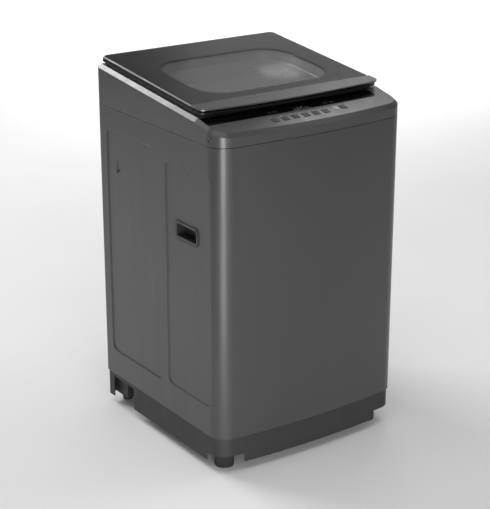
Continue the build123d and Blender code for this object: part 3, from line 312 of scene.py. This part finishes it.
def gloss_black():
    """Polished black strip with faint dust and wipe marks."""
    look = Look("display_black", (0.003, 0.003, 0.0035), 0.16)
    look.set("Specular IOR Level", 0.12)
    look.round_edges(0.0005)
    dust = look.remap(look.cells(900.0, output="Distance"), 0.0, 0.06, 1.0, 0.0)
    patchy = look.remap(look.noise(40.0), 0.5, 0.7)
    fleck = look.math("MULTIPLY", look.math("MULTIPLY", dust, patchy), 0.3)
    look.paint(look.blend(fleck, look.tint(look.noise(15.0), 0.2), (0.05, 0.05, 0.05)))
    look.rough(look.noise(1.0, 6.0, 0.6, at=look.stretched((14.0, 90.0, 90.0))), 0.10, 0.22)
    look.bump(look.noise(220.0, 2.0), 0.02, 0.00004)
    return look.material


def tinted_glass():
    """Smoked glass: a black printed border that ends in fine dots, round a see-through window."""
    look = Look("lid_glass", (0.013, 0.013, 0.0135), 0.24, IOR=1.5)
    low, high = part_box("lid_window_bowl")
    border = window_distance(look, low, high)
    dots = look.cells(260.0, output="Distance")
    edge = look.math("ADD", border, look.remap(dots, 0.0, 0.6, -DOT_REACH, DOT_REACH))
    clear = look.remap(edge, -0.0005, 0.0005, 1.0, 0.0)
    look.link(look.remap(clear, 0.0, 1.0, 1.0, CLEAR_ALPHA), look.shader.inputs["Alpha"])
    look.link(clear, look.shader.inputs["Coat Weight"])
    look.link(look.remap(clear, 0.0, 1.0, 0.5, 1.0), look.shader.inputs["Specular IOR Level"])
    look.set("Coat Roughness", 0.06)
    look.paint(look.blend(clear, look.tint(look.noise(8.0), 0.06), (0.03, 0.03, 0.031)))
    look.rough(look.noise(1.0, 5.0, 0.6, at=look.stretched((22.0, 60.0, 60.0))), 0.21, 0.27)
    look.bump(look.noise(30.0, 1.0), 0.02, 0.0002)
    return look.material


def window_distance(look, low, high):
    """Distance outside the clear window's round-cornered outline, below 0 inside it."""
    middle = (low + high) / 2
    past = []
    for axis, name in enumerate("XY"):
        half = (high[axis] - low[axis]) / 2 - CLEAR_INSET - WINDOW_R
        off = look.math("SUBTRACT", look.axis(name), middle[axis])
        past.append(look.math("SUBTRACT", look.math("ABSOLUTE", off), half))
    squares = [look.math("POWER", look.math("MAXIMUM", way, 0.0), 2.0) for way in past]
    outside = look.math("POWER", look.math("ADD", *squares), 0.5)
    inside = look.math("MINIMUM", look.math("MAXIMUM", *past), 0.0)
    return look.math("SUBTRACT", look.math("ADD", outside, inside), WINDOW_R)


def brushed(name, colour, roughness, along="X", metallic=1.0):
    """Brushed metal: long fine scratches along one axis, with a few deeper ones."""
    look = Look(name, colour, roughness, metallic)
    look.round_edges(0.0006)
    fine, coarse = (
        tuple(with_grain if axis == along else across for axis in "XYZ")
        for with_grain, across in ((4.0, 2600.0), (9.0, 700.0))
    )
    hair = look.noise(1.0, 3.0, 0.7, at=look.stretched(fine))
    deep = look.noise(1.0, 2.0, 0.5, at=look.stretched(coarse))
    cloud = look.noise(12.0, 3.0)
    base = look.blend(look.remap(hair, *NOISE_SPAN, 0.0, 0.4), look.tint(cloud, 0.04),
                      tuple(c * 0.75 for c in colour))
    look.paint(look.blend(look.math("MULTIPLY", look.edges(0.0008), 0.4), base,
                          tuple(min(c * 1.5, 1.0) for c in colour)))
    look.rough(hair, roughness - 0.07, roughness + 0.08)
    look.bump(hair, 0.25, 0.00002)
    look.bump(deep, 0.10, 0.00003)
    return look.material


def zinc(name, colour):
    """Zinc-plated or galvanised steel: large spangle cells, dull patches and fine scratches."""
    look = Look(name, colour, 0.38, 0.9)
    look.round_edges(0.0008)
    spangle = look.cells(85.0)
    grey = look.node("ShaderNodeRGBToBW", {"Color": spangle}).outputs["Val"]
    cloud = look.noise(7.0, 5.0)
    base = look.tint(grey, 0.10, (0.2, 0.8))
    dull = look.remap(cloud, 0.55, 0.75, 0.0, 0.35)
    look.paint(look.blend(dull, base, tuple(c * 0.6 for c in colour)))
    halves = [look.math("MULTIPLY", part, 0.5) for part in (grey, cloud)]
    look.rough(look.math("ADD", *halves), 0.28, 0.52)
    look.bump(look.noise(500.0, 3.0), 0.15, 0.00004)
    return look.material


def rubber(name, colour, roughness=0.72):
    """Rubber: dull, slightly bloomed and finely pitted."""
    look = Look(name, colour, roughness)
    look.round_edges(0.0008)
    bloom = look.math("MULTIPLY", look.remap(look.noise(24.0, 5.0), 0.45, 0.75), 0.25)
    base = look.tint(look.noise(300.0, 2.0), 0.08)
    look.paint(look.blend(bloom, base, tuple(c * 1.8 + 0.01 for c in colour)))
    look.rough(look.noise(40.0, 4.0), roughness - 0.08, roughness + 0.10)
    look.bump(look.noise(1200.0, 2.0), 0.4, 0.00006)
    look.bump(look.noise(70.0, 3.0), 0.12, 0.0002)
    return look.material


def cast_metal(name, colour):
    """Die-cast aluminium: matte skin with flow marks and pits."""
    look = Look(name, colour, 0.45, 0.9)
    look.round_edges(0.001)
    flow = look.noise(1.0, 4.0, 0.6, at=look.stretched((30.0, 30.0, 12.0)))
    pits = look.remap(look.cells(600.0, output="Distance"), 0.0, 0.25)
    look.paint(look.blend(look.remap(pits, 0.0, 1.0, 0.25, 0.0), look.tint(flow, 0.08),
                          tuple(c * 0.4 for c in colour)))
    look.rough(flow, 0.36, 0.56)
    look.bump(pits, 0.25, 0.00008)
    look.bump(flow, 0.15, 0.0003)
    return look.material


def enamel_black(name):
    """Baked black enamel on a motor can."""
    look = Look(name, (0.02, 0.02, 0.021), 0.35)
    look.round_edges(0.001)
    look.paint(look.tint(look.noise(20.0, 4.0), 0.25))
    look.rough(look.noise(60.0, 4.0), 0.28, 0.45)
    look.bump(look.noise(350.0, 2.0), 0.2, 0.00006)
    return look.material


def circuit_board():
    """Green solder mask with copper tracks showing through."""
    look = Look("board", (0.01, 0.06, 0.02), 0.35, Coat_Weight=0.3)
    tracks = look.cells(160.0, output="Distance", feature="DISTANCE_TO_EDGE")
    lines = look.remap(tracks, 0.04, 0.07, 1.0, 0.0)
    look.paint(look.blend(look.math("MULTIPLY", lines, 0.6), look.tint(look.noise(30.0), 0.1),
                          (0.03, 0.14, 0.05)))
    look.rough(look.noise(80.0), 0.28, 0.42)
    look.bump(lines, 0.3, 0.00004)
    return look.material


def drum_steel():
    """Drawn stainless steel of the basket: rolled grain and a pressed pattern of small lozenges."""
    look = Look("stainless_steel", (0.55, 0.55, 0.56), 0.24, 1.0)
    look.round_edges(0.001)
    grain = look.noise(1.0, 4.0, 0.6, at=look.stretched((60.0, 60.0, 1500.0)))
    lozenge = look.cells(55.0, output="Distance")
    look.paint(look.blend(look.remap(grain, *NOISE_SPAN, 0.0, 0.3), look.tint(look.noise(6.0), 0.05),
                          (0.4, 0.4, 0.41)))
    look.rough(grain, 0.18, 0.34)
    look.bump(grain, 0.12, 0.00002)
    look.bump(look.remap(lozenge, 0.0, 0.5), 0.2, 0.0006)
    return look.material


def materials():
    """One material per slot of the record, and the few that only printed or added pieces wear."""
    return {
        "painted_steel": painted_steel(),
        "galvanised_steel": zinc("galvanised_steel", (0.45, 0.45, 0.46)),
        "stainless_steel": drum_steel(),
        "screw_steel": zinc("screw_steel", (0.22, 0.22, 0.225)),
        "shaft_steel": brushed("shaft_steel", (0.5, 0.5, 0.51), 0.28, "Z"),
        "grip_plastic": moulded("grip_plastic", (0.030, 0.030, 0.031), 0.48),
        "skirt_plastic": moulded("skirt_plastic", (0.026, 0.026, 0.027), 0.55, 700.0),
        "foot_rubber": rubber("foot_rubber", (0.020, 0.020, 0.0205)),
        "top_plastic": moulded("top_plastic", (0.05, 0.05, 0.0515), 0.32, 1100.0, 0.00004, 0.03,
                               0.3, 0.0013),
        "deck_plastic": moulded("deck_plastic", (0.022, 0.022, 0.0225), 0.42),
        "display_black": gloss_black(),
        "key_plastic": moulded("key_plastic", (0.022, 0.022, 0.023), 0.42, 1400.0, 0.00004),
        "board": circuit_board(),
        "black_plastic": moulded("black_plastic", (0.015, 0.015, 0.016), 0.5),
        "white_plastic": moulded("white_plastic", (0.55, 0.55, 0.53), 0.42),
        "lid_plastic": moulded("lid_plastic", (0.008, 0.008, 0.0085), 0.34, 1200.0, 0.00003, 0.03),
        "lid_glass": tinted_glass(),
        "handle_metal": brushed("handle_metal", (0.20, 0.20, 0.205), 0.38),
        "bowl_plastic": moulded("bowl_plastic", (0.42, 0.42, 0.425), 0.30, 500.0, 0.00003, 0.03,
                                1.0),
        "bumper_rubber": rubber("bumper_rubber", (0.02, 0.02, 0.02)),
        "tub_plastic": moulded("tub_plastic", (0.42, 0.42, 0.40), 0.5),
        "cast_aluminium": cast_metal("cast_aluminium", (0.5, 0.5, 0.51)),
        "motor_paint": enamel_black("motor_paint"),
        "belt_rubber": rubber("belt_rubber", (0.012, 0.012, 0.012), 0.62),
        "pulsator_plastic": moulded("pulsator_plastic", (0.28, 0.29, 0.31), 0.3, 900.0, 0.00003,
                                    0.04, 0.3),
        "ring_plastic": moulded("ring_plastic", (0.34, 0.35, 0.36), 0.36),
        "spring_steel": zinc("spring_steel", (0.25, 0.25, 0.255)),
        "gland_rubber": rubber("gland_rubber", (0.018, 0.018, 0.018)),
        "print_pale": moulded("print_pale", (0.70, 0.70, 0.70), 0.45),
        "print_grey": moulded("print_grey", (0.62, 0.62, 0.62), 0.45),
        "print_dim": moulded("print_dim", (0.12, 0.12, 0.12), 0.40),
        # near-black for the painted shade in the side's groove and holes
        "painted_shade_black": moulded("painted_shade_black", (0.004, 0.004, 0.004), 0.7),
        # lighter grey than the grip: a painted highlight along the rolled lip
        "grip_rim_painted_highlight": moulded("grip_rim_painted_highlight", (0.060, 0.060, 0.061), 0.40),
        "key_silver": brushed("key_silver", (0.30, 0.30, 0.305), 0.38, metallic=0.4),
    }


# ------------------------------------------------------------------ the CAD pieces
def shade(piece):
    """Smooth shading across gentle turns, sharp at real corners."""
    mesh = piece.data
    work = bmesh.new()
    work.from_mesh(mesh)
    sharp = []
    for edge in work.edges:
        gentle = len(edge.link_faces) == 2 and edge.calc_face_angle(0.0) < SMOOTH_BELOW
        sharp.append(not gentle)
    work.free()
    for face in mesh.polygons:
        face.use_smooth = True
    for edge, is_sharp in zip(mesh.edges, sharp):
        edge.use_edge_sharp = is_sharp


def dress(looks):
    """Gives every CAD node the material of its slot, or its own finish."""
    slots = {entry["node"]: entry["material_slot"] for entry in frame["record"]["subparts"]}
    for name, piece in NODES.items():
        look = looks[FINISHES.get(name, slots[name])]
        for slot in piece.material_slots:
            slot.material = look
        if not piece.material_slots:
            piece.data.materials.append(look)
        shade(piece)


# ------------------------------------------------------------------ pieces made only for the look
class Patch:
    """A mesh being put together from points and faces."""

    def __init__(self):
        self.points = []
        self.faces = []

    def bar(self, corners, lift):
        """A thin slab over four corners, standing out along lift."""
        first = len(self.points)
        self.points += [tuple(corner) for corner in corners]
        self.points += [tuple(Vector(corner) + lift) for corner in corners]
        low, high = range(first, first + 4), range(first + 4, first + 8)
        self.faces += [tuple(reversed(low)), tuple(high)]
        self.faces += [(low[i], low[(i + 1) % 4], high[(i + 1) % 4], high[i]) for i in range(4)]

    def rings(self, loops, closed=False):
        """Walls between neighbouring loops of equally many points, and a cap if closed."""
        first = len(self.points)
        count = len(loops[0])
        for loop in loops:
            self.points += [tuple(point) for point in loop]
        for k in range(len(loops) - 1):
            here, there = first + k * count, first + (k + 1) * count
            for i in range(count):
                after = (i + 1) % count
                self.faces.append((here + i, here + after, there + after, there + i))
        if closed:
            last = first + (len(loops) - 1) * count
            self.faces.append(tuple(last + i for i in range(count)))

    def make(self, name, look, body, thick=0.0):
        """The piece itself, which rides on a body."""
        mesh = bpy.data.meshes.new(name)
        mesh.from_pydata(self.points, [], self.faces)
        mesh.update()
        piece = bpy.data.objects.new(name, mesh)
        bpy.context.scene.collection.objects.link(piece)
        mesh.materials.append(look)
        if thick:
            wall = piece.modifiers.new("wall", "SOLIDIFY")
            wall.thickness = thick
            wall.offset = -1.0
        shade(piece)
        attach(piece, body)
        return piece


def front_point(x, s, up=0.0):
    """A point on the front slope: x across, s down from the break and up off the face."""
    run = math.hypot(1.0, FRONT_SLOPE)
    y = BREAK_Y - (s + up * FRONT_SLOPE) / run
    z = BREAK_Z + (up - s * FRONT_SLOPE) / run
    return Vector((x, y, z))


def lid_point(x, y, z):
    """A point of the closed lid from its flat place: y from its rear edge, z up off its face."""
    run = math.hypot(1.0, REAR_SLOPE)
    return Vector((
        x,
        LID_REAR[0] + (y - z * REAR_SLOPE) / run,
        LID_REAR[1] + (y * REAR_SLOPE + z) / run,
    ))


UP_FRONT = Vector((0.0, -FRONT_SLOPE, 1.0)).normalized()


def mark(patch, x, s, wide, tall, turn=0.0, up=0.0):
    """A printed bar on the front slope, centred on x and s and turned by an angle."""
    cosine, sine = math.cos(turn), math.sin(turn)
    corners = []
    for across, down in ((-1, -1), (-1, 1), (1, 1), (1, -1)):
        dx, ds = across * wide / 2, down * tall / 2
        corners.append(front_point(x + dx * cosine - ds * sine, s + dx * sine + ds * cosine, up))
    patch.bar(corners, UP_FRONT * PRINT)


def key_marks(looks):
    """Generic printed marks: on and above each key, a pale frame by the pair and the strip's marks."""
    labels = Patch()
    for number in range(KEYS):
        x = KEY_FIRST_X + number * KEY_PITCH
        body = f"key_{number + 1}"
        own = Patch()
        for across, down, wide, tall in KEY_BARS:
            mark(own, x + across, KEY_S + down, wide, tall, up=KEY_PROUD)
        own.make(f"{body}_mark", looks["print_dim"], body)
        for across, down, wide, tall in LABEL_BARS:
            mark(labels, x + across, KEY_S + down, wide, tall)
    x0, x1 = PAIR_X[0] - PAIR_REACH, PAIR_X[1] + PAIR_REACH
    s0, s1 = PAIR_S - PAIR_REACH, PAIR_S + PAIR_REACH
    mark(labels, (x0 + x1) / 2, s1, x1 - x0, PAIR_LINE)
    mark(labels, x0, (s0 + s1) / 2, PAIR_LINE, s1 - s0)
    labels.make("key_labels", looks["print_pale"], "cabinet")
    strip_marks(looks)


def strip_marks(looks):
    """A burst of ticks in the middle of the black strip, and dim rows to each side of it."""
    burst = Patch()
    for turn in range(BURST_TICKS):
        angle = math.pi * (turn + 0.5) / BURST_TICKS
        reach = BURST_REACH[turn % len(BURST_REACH)]
        across, down = -math.cos(angle) * BURST_WIDE, -math.sin(angle) * BURST_TALL
        mark(burst, BURST_X + across * reach, BURST_S + down * reach, TICK_LONG, TICK_WIDE,
             math.atan2(down, across))
    burst.make("display_burst", looks["print_grey"], "cabinet")
    rows = Patch()
    for x in ROW_X:
        for line in range(ROW_LINES):
            mark(rows, x + ROW_SHIFT[0] * line, ROW_S + ROW_SHIFT[1] * line, *ROW_BAR)
    rows.make("display_rows", looks["print_dim"], "cabinet")


def round_outline(low, high, radius, steps):
    """Points round a rectangle with round corners, whose centres lie at low and high."""
    centres = (high, (low[0], high[1]), low, (high[0], low[1]))
    for turn, (across, along) in enumerate(centres):
        for step in range(steps):
            angle = math.pi / 2 * (turn + step / (steps - 1))
            yield across + radius * math.cos(angle), along + radius * math.sin(angle)


def side_ring(patch, side, middle, half, corner, profile):
    """A ring on a side wall, with a loop of points for each row of its profile."""
    low = [place - (reach - corner) for place, reach in zip(middle, half)]
    high = [place + (reach - corner) for place, reach in zip(middle, half)]
    loops = []
    for inset, out in profile:
        outline = round_outline(low, high, corner - inset, RING_CORNER)
        loops.append([Vector((side * (SIDE_X + out), y, z)) for y, z in outline])
    patch.rings(loops)


def side_details(looks):
    """A rolled lip round each hand grip, its lighter grey a painted highlight, and flat near-black
    pieces of painted shade over the groove round the screw boss, in the screw hole and in the clip hole.
    """
    for side, name in ((-1, "left"), (1, "right")):
        lip = Patch()
        side_ring(lip, side, GRIP_MIDDLE, GRIP_HALF, GRIP_R, GRIP_LIP)
        # the lip's raised shape is real; its lighter grey is a painted highlight
        lip.make(f"grip_lip_{name}", looks["grip_rim_painted_highlight"], "cabinet")
        # flat near-black pieces of painted shade where the groove and the holes fall in shade
        shade_patch = Patch()
        side_ring(shade_patch, side, BOSS, (BOSS_R, BOSS_R), BOSS_R, BOSS_SHADE)
        side_ring(shade_patch, side, BOSS, (SCREW_R, SCREW_R), SCREW_R, HOLE_SHADE)
        side_ring(shade_patch, side, CLIP_HOLE, (CLIP_R, CLIP_R), CLIP_R, HOLE_SHADE)
        shade_patch.make(f"side_painted_shade_{name}", looks["painted_shade_black"], "cabinet")


def window_loop(inset, depth):
    """The window's outline drawn in by inset, at one depth below the lid's face."""
    corner = WINDOW_R - DISH_SHARPEN * inset
    half = WINDOW_HALF - inset - corner
    rear, front = -WINDOW_REAR - inset - corner, -WINDOW_FRONT + inset + corner
    outline = round_outline((-half, front), (half, rear), corner, DISH_CORNER)
    return [lid_point(x, y, -depth) for x, y in outline]


def window_dish(looks):
    """The clear bowl under the glass as it is moulded: steep walls that sweep into the floor."""
    foot = (DISH_EDGE + DISH_WALL_RUN, DISH_WALL_DROP)
    profile = [(-DISH_FLANGE, 0.0), (0.0, 0.0), (DISH_LIP, -DISH_RISE), (DISH_EDGE, -DISH_RISE)]
    profile.append(((DISH_EDGE + foot[0]) / 2, (foot[1] - DISH_RISE) / 2))
    for step in range(DISH_STEPS + 1):
        turn = math.pi / 2 * step / DISH_STEPS
        out, down = 1 - math.cos(turn), math.sin(turn)
        profile.append((foot[0] + DISH_SWEEP * out, foot[1] + (DISH_DEEP - foot[1]) * down))
    patch = Patch()
    patch.rings([window_loop(inset, DISH_TOP + drop) for inset, drop in profile], closed=True)
    dish = patch.make("lid_dish", looks["bowl_plastic"], "lid", DISH_THICK)
    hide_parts("lid_window_bowl")


# ------------------------------------------------------------------ the studio
MIDDLE = (0.0, 0.0, 0.55)
LIGHTS = (
    # name, where, towards, width and height, power
    ("overhead", (-0.9, -0.7, 5.0), (0.0, 0.0, 0.0), (4.4, 4.4), 76.0),
    ("far_floor", (3.8, 4.8, 1.7), (3.8, 4.8, 0.0), (5.0, 5.0), 150.0),
    ("right_floor", (2.6, -0.6, 1.5), (2.6, -0.6, 0.0), (2.0, 2.0), 8.0),
    ("corner_low", (-1.75, -2.35, 0.4), (-0.25, -0.23, 0.3), (1.1, 0.75), 30.0),
    ("corner_near", (-0.80, -0.95, 0.17), (-0.25, -0.23, 0.22), (0.50, 0.30), 1.5),
    ("front", (-0.9, -4.1, 1.5), MIDDLE, (2.4, 2.4), 46.0),
    ("chamfer", (-1.3, 3.4, 3.2), (0.0, 0.0, 0.95), (2.3, 1.4), 98.0),
    ("deck_near", (0.96, 0.44, 1.78), (0.25, -0.22, 0.93), (0.5, 0.35), 1.3),
    ("deck_glow", (2.0, 1.6, 3.9), (0.0, -0.2, 0.95), (1.4, 0.8), 5.0),
    ("glass_glow", (2.75, 2.7, 2.6), (0.0, 0.0, 1.0), (1.8, 1.2), 1.9),
    ("bevel_glow", (1.7, -0.6, 3.4), (0.0, -0.27, 0.93), (1.2, 1.2), 9.0),
)
WORLD_STRENGTH = 0.06
FLOOR_HALF = 30.0
POOL_AT = (0.150, 0.070, 1.60)            # a narrow lamp straight over the bowl's right rear
POOL_CONE = math.radians(14)
POOL_POWER = 24.0


def floor():
    """A large pale floor, finely textured."""
    mesh = bpy.data.meshes.new("studio_floor")
    corners = [(across * FLOOR_HALF, along * FLOOR_HALF, 0)
               for across, along in ((-1, -1), (1, -1), (1, 1), (-1, 1))]
    mesh.from_pydata(corners, [], [(0, 1, 2, 3)])
    piece = bpy.data.objects.new("studio_floor", mesh)
    bpy.context.scene.collection.objects.link(piece)
    look = Look("studio_floor", (0.92, 0.92, 0.92), 0.9)
    look.paint(look.tint(look.noise(2.0), 0.01))
    mesh.materials.append(look.material)


def area_light(name, at, towards, size, power):
    """A rectangular lamp at one point that shines towards another."""
    data = bpy.data.lights.new(name, "AREA")
    data.shape = "RECTANGLE"
    data.size, data.size_y = size
    data.energy = power
    lamp = bpy.data.objects.new(name, data)
    lamp.location = at
    lamp.rotation_euler = (Vector(towards) - Vector(at)).to_track_quat("-Z", "Y").to_euler()
    bpy.context.scene.collection.objects.link(lamp)


def pool_light():
    """A narrow spot that points straight down."""
    data = bpy.data.lights.new("bowl_pool", "SPOT")
    data.energy = POOL_POWER
    data.spot_size = POOL_CONE
    data.spot_blend = 1.0
    lamp = bpy.data.objects.new("bowl_pool", data)
    lamp.location = POOL_AT
    bpy.context.scene.collection.objects.link(lamp)


def studio():
    """The world's faint light, all the lamps and the floor."""
    world = bpy.data.worlds.new("studio")
    world.use_nodes = True
    background = world.node_tree.nodes["Background"]
    background.inputs["Color"].default_value = (1.0, 1.0, 1.0, 1.0)
    background.inputs["Strength"].default_value = WORLD_STRENGTH
    bpy.context.scene.world = world
    for light in LIGHTS:
        area_light(*light)
    pool_light()
    floor()


def camera():
    data = bpy.data.cameras.new("camera")
    data.lens = LENS
    data.sensor_width = SENSOR
    data.clip_end = SEES_TO
    eye = bpy.data.objects.new("camera", data)
    eye.location = CAMERA_AT
    eye.rotation_euler = [math.radians(turn) for turn in CAMERA_TURN]
    bpy.context.scene.collection.objects.link(eye)
    bpy.context.scene.camera = eye


camera()
studio()
LOOKS = materials()
dress(LOOKS)
window_dish(LOOKS)
key_marks(LOOKS)
side_details(LOOKS)
bpy.context.scene.view_settings.view_transform = "Standard"
